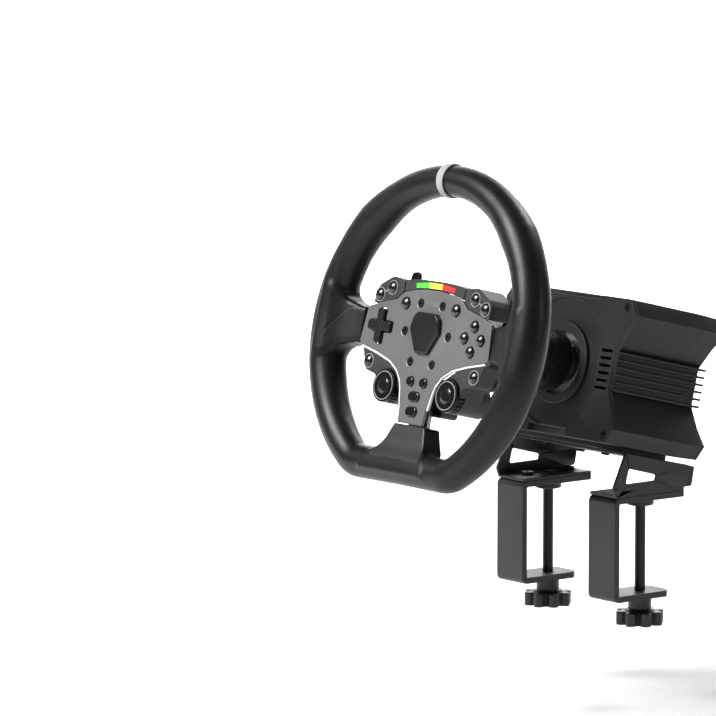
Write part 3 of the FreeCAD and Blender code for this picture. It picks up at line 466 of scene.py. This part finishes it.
def side_spoke_field(x, y, v):
    """The side spokes: level bars that flare into the rim, cut square at the face plate."""
    out = np.abs(x)
    high = np.interp(out, (84, 92, 104, 118), (15.2, 15.6, 19.0, 27.0))
    front = np.interp(out, (84, 92, 104, 118), (0.6, -1.0, -5.0, -12.0))
    back = np.interp(out, (84, 100, 118), (18.0, 18.0, 14.0))
    field = soft_max(np.abs(v + 0.3) - high, soft_max(front - y, y - back, 3.0), 4.0)
    return np.maximum(field, np.maximum(out - SPOKE_ROOT, SPOKE_END - out))


def bottom_spoke_field(x, y, v):
    """The bottom spoke: a flat-faced wedge that widens and comes forward into the flat of the rim."""
    wide = np.interp(-v, (76, 90, 104, 116), (20.4, 26.0, 33.5, 40.0))
    front = np.interp(-v, (76, 90, 104, 116), (0.3, -2.0, -7.5, -12.0))
    back = np.interp(-v, (76, 95, 112), (17.0, 17.0, 10.0))
    field = soft_max(np.abs(x) - wide, soft_max(front - y, y - back, 2.0), 2.0)
    return np.maximum(field, np.maximum(-v - BOTTOM_ROOT, v + BOTTOM_END))


def leather_field(x, y, v):
    field = soft_min(tube_field(x, y, v), side_spoke_field(x, y, v), 7.0)
    return soft_min(field, bottom_spoke_field(x, y, v), 6.0)


def seam_distance(x, v):
    """How far a point lies from the seam where the rim's skin laps over a side spoke."""
    best = np.full(x.shape, 1e3)
    for (x0, v0), (x1, v1) in zip(SEAM, SEAM[1:]):
        length = math.hypot(x1 - x0, v1 - v0)
        ux, uv = (x1 - x0) / length, (v1 - v0) / length
        run = np.clip((x - x0) * ux + (v - v0) * uv, 0, length)
        best = np.minimum(best, np.hypot(x - x0 - run * ux, v - v0 - run * uv))
    return best


def settle(verts):
    """Move the vertices onto the leather field's zero surface by a few damped Newton steps."""
    delta = 0.05
    for _ in range(3):
        value = leather_field(*verts.T)
        slope = np.stack([(leather_field(*(verts + shift).T) - leather_field(*(verts - shift).T))
                          / (2 * delta) for shift in np.eye(3) * delta], 1)
        size = np.maximum((slope ** 2).sum(1), 0.3)
        verts = verts - np.clip(value / size, -0.5, 0.5)[:, None] * slope
    return verts


def paint(mesh, name, values):
    """Give each vertex a value that the material reads by name."""
    attribute = mesh.attributes.new(name, "FLOAT", "POINT")
    attribute.data.foreach_set("value", values.astype(np.float32))


def unroll(mesh, x, y, v):
    """A flat map of the skin in millimetres, along the rim and across it, for the pricked rows."""
    flank = (np.abs(x) > 18) & (v < -BOTTOM_END + 0.2) & (v > -104)
    run = np.where(flank, v, RIM_R * np.arctan2(v, x))
    surface = np.stack([run, y], 1)
    corners = np.empty(len(mesh.loops), np.int32)
    mesh.loops.foreach_get("vertex_index", corners)
    layer = mesh.uv_layers.new(name="surface_mm")
    layer.data.foreach_set("uv", surface[corners].astype(np.float32).ravel())


def make_leather():
    """One sewn skin over rim and spokes, meshed from its field and settled onto it."""
    step = 1.25
    reach = RIM_R + 20.0
    low = (-reach, -20.0, -FLAT - 18.0)
    high = (reach, 22.0, reach)
    grid = np.meshgrid(*[np.arange(a, b + step, step) for a, b in zip(low, high)], indexing="ij")
    verts, faces = surface_nets(leather_field(*grid), low, step)
    verts = settle(verts)
    piece = piece_from("rim_leather", verts.tolist(), faces.tolist(), "leather", "wheel")
    x, y, v = verts.T
    side = np.abs(x)
    flat_face = side < np.interp(-v, (76, 90, 104), (19.6, 25.0, 32.0))
    inner = np.clip((-along_rim(x, v) - 2.0) / 4.0, 0, 1) * np.clip((y + 6.0) / 3.0, 0, 1)
    lower = np.clip((-14.0 - v) / 5.0, 0, 1)
    paint(piece.data, "prick_zone", inner * lower * ~(flat_face & (y < 8)))
    paint(piece.data, "panel_zone", flat_face & (y < 6) & (v < -70) & (v > -106))
    seam = np.clip(1.4 - seam_distance(side, v) / SEAM_HALF, 0, 1)
    paint(piece.data, "seam_line", seam * (y < 8) * np.clip((v + 36) / 14, 0, 1))
    unroll(piece.data, x, y, v)
    smooth = piece.modifiers.new("settle", "SMOOTH")
    smooth.factor = 0.5
    smooth.iterations = 4
    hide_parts("rim_grip", "spoke_covers", "bottom_spoke_cover")


def make_marker():
    """The pale band stitched round the rim, a touch off twelve o'clock."""
    around, across = 48, 8
    half_width = 3.9
    crown, edge_drop = 0.45, 0.3
    turn = math.radians(-2.5)
    verts, faces = [], []
    for i in range(across + 1):
        share = i / across * 2 - 1
        rise = TUBE + crown - edge_drop * share ** 8
        lean = half_width * share / RIM_R + turn
        for j in range(around):
            bend = 2 * math.pi * j / around
            reach = RIM_R + rise * math.cos(bend)
            verts.append((reach * math.sin(lean), SET_BACK + rise * math.sin(bend),
                          reach * math.cos(lean)))
    for i in range(across):
        for j in range(around):
            a, b = i * around + j, i * around + (j + 1) % around
            faces.append((a, b, b + around, a + around))
    piece = piece_from("marker_band", verts, faces, "marker", "wheel")
    solid = piece.modifiers.new("thickness", "SOLIDIFY")
    solid.thickness = 0.9 * MM
    solid.offset = -1
    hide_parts("centre_marker")


make_leather()
make_marker()
refine("wheel_frame", width=0.3)


# ---------------------------------------------------------------- face, pods and controls

# How wide each CAD node's edges are rounded, in millimetres.
EDGE_WIDTHS = {
    "face_plate": 0.5, "badge": 0.4, "face_screws": 0.15, "top_pods": 0.35, "lower_pods": 0.4,
    "trim_strips": 0.15, "rear_housing": 0.5, "wheel_board": 0.1, "qr_hub": 0.6, "qr_sleeve": 0.3,
    "paddle_left": 0.9, "paddle_right": 0.9, "dpad": 0.8, "dpad_gimbal": 0.2,
    "centre_key_left": 0.9, "centre_key_right": 0.9, "centre_key_middle": 0.9, "centre_key_lower": 0.9,
    "dial_left": 0.35, "dial_right": 0.35, "dial_cap_left": 0.5, "dial_cap_right": 0.5,
    "base_housing": 0.5, "front_cover": 0.6, "collar_ring": 0.8, "rear_cover": 0.6,
    "mounting_bracket": 0.5, "housing_screws": 0.2, "clamp_strap_left": 0.5, "clamp_strap_right": 0.5,
    "motor_stator": 0.4, "shaft_bearings": 0.3, "controller_board": 0.15, "drive_shaft": 0.4,
    "rotor_magnets": 0.4, "power_button": 0.3, "clamp_pad_left": 0.4, "clamp_pad_right": 0.4,
    "clamp_screw_left": 0.3, "clamp_screw_right": 0.3, "clamp_knob_left": 0.8, "clamp_knob_right": 0.8,
}
WIDE_EDGE = 0.4
# The bracket's pierced sheet keeps its triangles: joined flats with holes don't round cleanly.
KEEP_TRIANGLES = {"mounting_bracket"}
LOOKS = {"dial_left": "anodised", "dial_right": "anodised", "lower_pods": "lower_pod",
         "top_pods": "lower_pod"}
for name, width in EDGE_WIDTHS.items():
    refine(name, LOOKS.get(name), width, 3 if width > WIDE_EDGE else 2, join=name not in KEEP_TRIANGLES)
for name in frame["nodes"]:
    if "button" in name and name != "power_button":
        refine(name, width=0.0)


def column_box(node):
    """A node's lowest and highest corners in the column's millimetres."""
    back = COLUMN.inverted()
    spots = [back @ v.co for v in frame["nodes"][node].data.vertices]
    return [min(axis) for axis in zip(*spots)], [max(axis) for axis in zip(*spots)]


def colour_lenses():
    """The lamp strip's lenses: green, yellow and red from left to right."""
    piece = refine("led_lenses", "yellow", width=0.15)
    for look in ("green", "red"):
        piece.data.materials.append(MATERIALS[look])
    back = COLUMN.inverted()
    low, high = column_box("led_lenses")
    third = (high[0] - low[0]) / 3
    for face in piece.data.polygons:
        place = (back @ face.center).x - low[0]
        face.material_index = 1 if place < third else 2 if place > 2 * third else 0


def lathe(profile, centre):
    """Verts and faces of a closed profile of (radius, y) points turned about a line along y."""
    count = 48
    rows = len(profile)
    verts, faces = [], []
    for i in range(count):
        bend = 2 * math.pi * i / count
        after = (i + 1) % count
        verts += [(centre[0] + r * math.cos(bend), y, centre[1] + r * math.sin(bend)) for r, y in profile]
        for j in range(rows):
            k = (j + 1) % rows
            faces.append((i * rows + j, i * rows + k, after * rows + k, after * rows + j))
    return verts, faces


def make_ring(node, inner, outer, seat, rise, body="wheel"):
    """A rounded ring that stands proud of its seat about a button or dial; returns its centre."""
    low, high = column_box(node)
    centre = ((low[0] + high[0]) / 2, (low[2] + high[2]) / 2)
    corner = min(rise, (outer - inner) / 2) * 0.6
    front = seat - rise
    slight = corner * 0.3
    profile = [(inner, seat + SUNK), (inner, front + corner), (inner + slight, front + slight),
               (inner + corner, front), (outer - corner, front), (outer - slight, front + slight),
               (outer, front + corner), (outer, seat + SUNK)]
    verts, faces = lathe(profile, centre)
    piece_from(node + "_ring", verts, faces, "ring", body)
    return centre


def make_link(name, start, end, seat):
    """The short bar that joins two button rings."""
    gap, width, rise = 6.0, 1.1, 0.5
    start, end = Vector(start), Vector(end)
    along = (end - start).normalized()
    across = Vector((-along.y, along.x)) * width / 2
    first, last = start + along * gap, end - along * gap
    ring = [first - across, last - across, last + across, first + across]
    verts = [(p.x, y, p.y) for y in (seat - rise, seat + SUNK) for p in ring]
    faces = [(0, 1, 2, 3), (7, 6, 5, 4)]
    faces += [(i, i + 4, (i + 1) % 4 + 4, (i + 1) % 4) for i in range(4)]
    soften(piece_from(name, verts, faces, "ring", "wheel", smooth=False), 0.15, 2)


# Ring sizes, in millimetres. A dial's ring is measured inwards from the dial's edge.
SUNK = 0.4
RING_INNER = 5.35
POD_RING_OUTER = 6.15
LOWER_RING_OUTER = 6.3
BUTTON_RING_RISE = 0.6
DIAL_RING_INNER = 2.5
DIAL_RING_OUTER = 1.7
DIAL_RING_RISE = 0.35

colour_lenses()
TOP_SEAT = column_box("top_pods")[0][1]
LOWER_SEAT = column_box("lower_pods")[0][1]
for side in ("left", "right"):
    pair = [make_ring(f"pod_button_{side}_{place}", RING_INNER, POD_RING_OUTER, TOP_SEAT,
                      BUTTON_RING_RISE) for place in ("inner", "outer")]
    make_link(f"pod_link_{side}", *pair, TOP_SEAT)
    make_ring(f"lower_button_{side}", RING_INNER, LOWER_RING_OUTER, LOWER_SEAT, BUTTON_RING_RISE)
    dial = f"dial_{side}"
    dial_low, dial_high = column_box(dial)
    dial_radius = (dial_high[0] - dial_low[0]) / 2
    make_ring(dial, dial_radius - DIAL_RING_INNER, dial_radius - DIAL_RING_OUTER, dial_low[1],
              DIAL_RING_RISE, dial)


# ---------------------------------------------------------------- stage, light and camera

CLAMP_TRAVEL = JOINTS["clamp_left_open"]["range_m"][1]
FLOOR_GAP = 0.004


def make_stage():
    """A pale floor that curves up into a backdrop, below the reach of the opened clamps."""
    floor = min(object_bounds()[0][2], CAD_BOUNDS[0][2]) - CLAMP_TRAVEL - FLOOR_GAP
    half, depth_front, depth_back, rise, sweep, steps = 9.0, -7.0, 5.6, 5.0, 1.6, 12
    profile = [(depth_front, floor)]
    for i in range(steps + 1):
        bend = math.pi / 2 * i / steps
        profile.append((depth_back + sweep * math.sin(bend), floor + sweep * (1 - math.cos(bend))))
    profile.append((depth_back + sweep, floor + rise))
    verts = [(x, y, z) for y, z in profile for x in (-half, half)]
    faces = [(2 * i, 2 * i + 1, 2 * i + 3, 2 * i + 2) for i in range(len(profile) - 1)]
    mesh = bpy.data.meshes.new("stage")
    mesh.from_pydata(verts, [], faces)
    mesh.polygons.foreach_set("use_smooth", [True] * len(mesh.polygons))
    stage = bpy.data.objects.new("stage", mesh)
    bpy.context.collection.objects.link(stage)
    nodes = Nodes("stage_paper")
    nodes.finish((0.92, 0.92, 0.92), 0.9, Specular_IOR_Level=0.1)
    mesh.materials.append(nodes.material)
    stage.rotation_euler.z = AZIMUTH


def add_light(name, at, aim, size, power, second=None):
    """A soft panel of the given size in metres and power in watts, aimed at a point."""
    data = bpy.data.lights.new(name, "AREA")
    data.energy = power
    data.shape = "RECTANGLE"
    data.size = size
    data.size_y = second or size
    light = bpy.data.objects.new(name, data)
    light.location = at
    light.rotation_euler = (Vector(aim) - Vector(at)).to_track_quat("-Z", "Y").to_euler()
    bpy.context.collection.objects.link(light)


# The photograph's view. ASIDE and ABOVE say how far, in metres, the camera's line of sight
# passes to the left of the face plate's centre and below it.
AZIMUTH = math.radians(51.82)
ELEVATION = math.radians(7.53)
LENS = 291.7
DISTANCE = 4.769
ASIDE = 0.0560
ABOVE = 0.0198


def make_camera():
    """A long lens at the driver's right, a little above the wheel."""
    right = Vector((math.cos(AZIMUTH), math.sin(AZIMUTH), 0))
    ahead = Vector((-math.sin(AZIMUTH) * math.cos(ELEVATION),
                    math.cos(AZIMUTH) * math.cos(ELEVATION), -math.sin(ELEVATION)))
    up = right.cross(ahead)
    data = bpy.data.cameras.new("camera")
    data.lens = LENS
    data.sensor_width = 36.0
    data.clip_end = 100.0
    camera = bpy.data.objects.new("camera", data)
    camera.location = PLATE_CENTRE - right * ASIDE - up * ABOVE - ahead * DISTANCE
    camera.rotation_euler = ahead.to_track_quat("-Z", "Y").to_euler()
    bpy.context.collection.objects.link(camera)
    bpy.context.scene.camera = camera


def studio(right, ahead, up):
    """A place given as the camera sees it: metres to the right, away and up from the object."""
    return Vector((right * math.cos(AZIMUTH) - ahead * math.sin(AZIMUTH),
                   right * math.sin(AZIMUTH) + ahead * math.cos(AZIMUTH), up))


def make_world():
    """A dim even glow, so that the panels shape the object."""
    world = bpy.data.worlds.new("studio")
    world.use_nodes = True
    background = world.node_tree.nodes["Background"]
    background.inputs["Color"].default_value = (1.0, 1.0, 1.0, 1.0)
    background.inputs["Strength"].default_value = 0.10
    bpy.context.scene.world = world


make_stage()
make_camera()
make_world()
middle = PLATE_CENTRE + Vector((0, 0.08, 0))
add_light("key", studio(-2.3, -0.7, 2.1), middle, 1.3, 145)
add_light("fill", studio(2.4, -1.4, 1.2), middle, 1.0, 7)
add_light("edge", studio(1.2, 1.4, 1.9), studio(0.1, 0.1, 0.2), 0.8, 26)
add_light("backdrop", studio(0.0, 2.6, 3.4), studio(0.0, 7.0, 0.0), 7.0, 900, second=2.5)
bpy.context.scene.view_settings.view_transform = "Standard"
